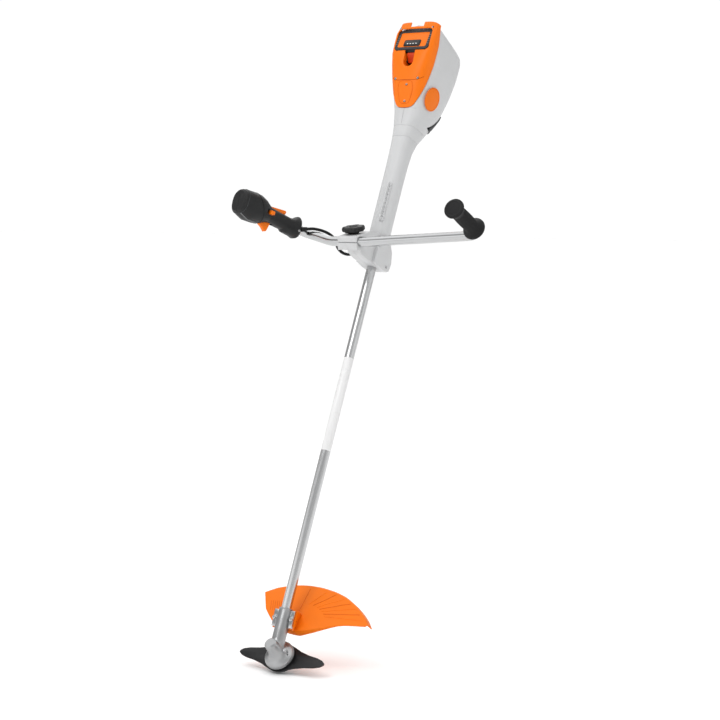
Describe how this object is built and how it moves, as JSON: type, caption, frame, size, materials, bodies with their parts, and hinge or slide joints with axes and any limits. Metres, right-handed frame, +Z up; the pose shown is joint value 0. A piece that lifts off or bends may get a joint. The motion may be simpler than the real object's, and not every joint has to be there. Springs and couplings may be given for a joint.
{
  "type": "battery brush cutter with bike handle",
  "caption": "Battery brush cutter: long silver tube, bike handle with control grip, orange and grey motor head with battery, gear head, two-tooth grass blade and orange guard.",
  "frame": {"origin": "outer face of the harness rail, midway between its fourth and fifth holes, where the carrying hook holds the machine", "axes": "+X to the operator's left, -Y to the front, +Z up; the tube leans back 24.6 degrees from +Z, with the cutter at the low front end"},
  "size_m": [0.6477, 0.8322, 1.6591],
  "materials": {
    "orange_plastic": "satin",
    "light_grey_plastic": "satin",
    "black_plastic": "fine grain",
    "black_rubber": "matt",
    "dark_grey_plastic": "fine grain",
    "red_plastic": "satin",
    "silver_tube": "drawn, clear coated",
    "cast_aluminium": "as cast, painted silver",
    "steel": "bright",
    "black_steel": "satin black",
    "copper": "bright",
    "board_green": "satin"
  },
  "bodies": {
    "machine": {"badge_disc": "orange_plastic", "battery_frame_cap": "orange_plastic", "battery_tray": "black_plastic", "bracket_screw_1": "steel", "bracket_screw_2": "steel", "cap_screw_left": "steel", "cap_screw_right": "steel", "clamp_jaw": "light_grey_plastic", "control_board": "board_green", "control_cable": "black_rubber", "gear_head_housing": "cast_aluminium", "grease_plug": "steel", "guard": "orange_plastic", "guard_bracket": "black_plastic", "guard_screw_left": "steel", "guard_screw_right": "steel", "guard_strap": "steel", "handlebar_bracket_left": "light_grey_plastic", "handlebar_bracket_right": "light_grey_plastic", "harness_rail": "light_grey_plastic", "housing_left_shell": "light_grey_plastic", "housing_right_shell": "light_grey_plastic", "motor_bearing": "steel", "motor_mount_plate": "cast_aluminium", "motor_stator": "copper", "neck_collar": "light_grey_plastic", "neck_tube": "light_grey_plastic", "pinion_bearing": "steel", "release_lever_pin": "steel", "shaft_bush_lower": "black_rubber", "shaft_bush_upper": "black_rubber", "shaft_tube": "silver_tube", "spindle_lower_bearing": "steel", "spindle_top_bearing": "steel", "terminal_block": "dark_grey_plastic", "vent_grille": "dark_grey_plastic"},
    "drive": {"drive_shaft": "steel", "pinion_gear": "steel", "motor_rotor": "steel", "cooling_fan": "black_plastic"},
    "cutter": {"output_spindle": "steel", "crown_gear": "steel", "thrust_plate": "black_steel", "cutting_blade": "black_steel", "thrust_washer": "steel", "rider_plate": "black_steel", "blade_nut": "steel"},
    "battery": {"battery_case": "dark_grey_plastic", "battery_face_frame": "dark_grey_plastic", "battery_face_plate": "orange_plastic"},
    "release_lever": {"battery_release_lever": "red_plastic"},
    "knob": {"clamp_knob": "black_plastic", "clamp_screw": "steel"},
    "handlebar": {"handlebar_tube": "silver_tube", "left_grip": "black_rubber", "control_handle_left": "black_plastic", "control_handle_right": "black_plastic"},
    "trigger": {"trigger": "orange_plastic"},
    "lockout": {"lockout_lever": "orange_plastic"},
    "mode_slider": {"mode_slider": "orange_plastic"}
  },
  "joints": [
    {"name": "cutter_spin", "type": "hinge", "parent": "machine", "child": "cutter", "pos_m": [-0.013, -0.47714, -1.11783], "axis": [0, -0.712, 0.7022], "continuous": true},
    {"name": "drive_spin", "type": "hinge", "parent": "machine", "child": "drive", "pos_m": [-0.013, -0.47714, -1.11783], "axis": [0, 0.4163, 0.9092], "continuous": true},
    {"name": "battery_slide", "type": "slide", "parent": "machine", "child": "battery", "axis": [0, -0.8231, 0.5678], "range_m": [0, 0.15]},
    {"name": "release_lever_press", "type": "hinge", "parent": "machine", "child": "release_lever", "pos_m": [-0.013, 0.15298, 0.37499], "axis": [1, 0, 0], "range_deg": [0, 12], "stiffness_Nm_per_rad": 0.6, "springref_deg": -17.19},
    {"name": "clamp_knob_turn", "type": "hinge", "parent": "machine", "child": "knob", "pos_m": [-0.013, -0.12532, -0.10048], "axis": [0, -0.1805, 0.9836], "continuous": true},
    {"name": "handlebar_tilt", "type": "hinge", "parent": "machine", "child": "handlebar", "pos_m": [-0.013, -0.14499, -0.10409], "axis": [1, 0, 0], "range_deg": [-25, 25], "deforming": ["control_cable"]},
    {"name": "trigger_pull", "type": "hinge", "parent": "handlebar", "child": "trigger", "pos_m": [-0.19755, -0.29009, -0.03843], "axis": [0.9822, -0.1709, 0.0783], "range_deg": [0, 12], "stiffness_Nm_per_rad": 0.6, "springref_deg": -17.19},
    {"name": "lockout_press", "type": "hinge", "parent": "handlebar", "child": "lockout", "pos_m": [-0.19388, -0.26065, -0.02018], "axis": [-0.9822, 0.1709, -0.0783], "range_deg": [0, 4.5], "stiffness_Nm_per_rad": 0.6, "springref_deg": -17.19},
    {"name": "mode_slider_slide", "type": "slide", "parent": "handlebar", "child": "mode_slider", "axis": [-0.1872, -0.9265, 0.3264], "range_m": [0, 0.008]}
  ],
  "couplings": [
    {"joint": "drive_spin", "follows": "cutter_spin", "ratio": 1.4}
  ]
}
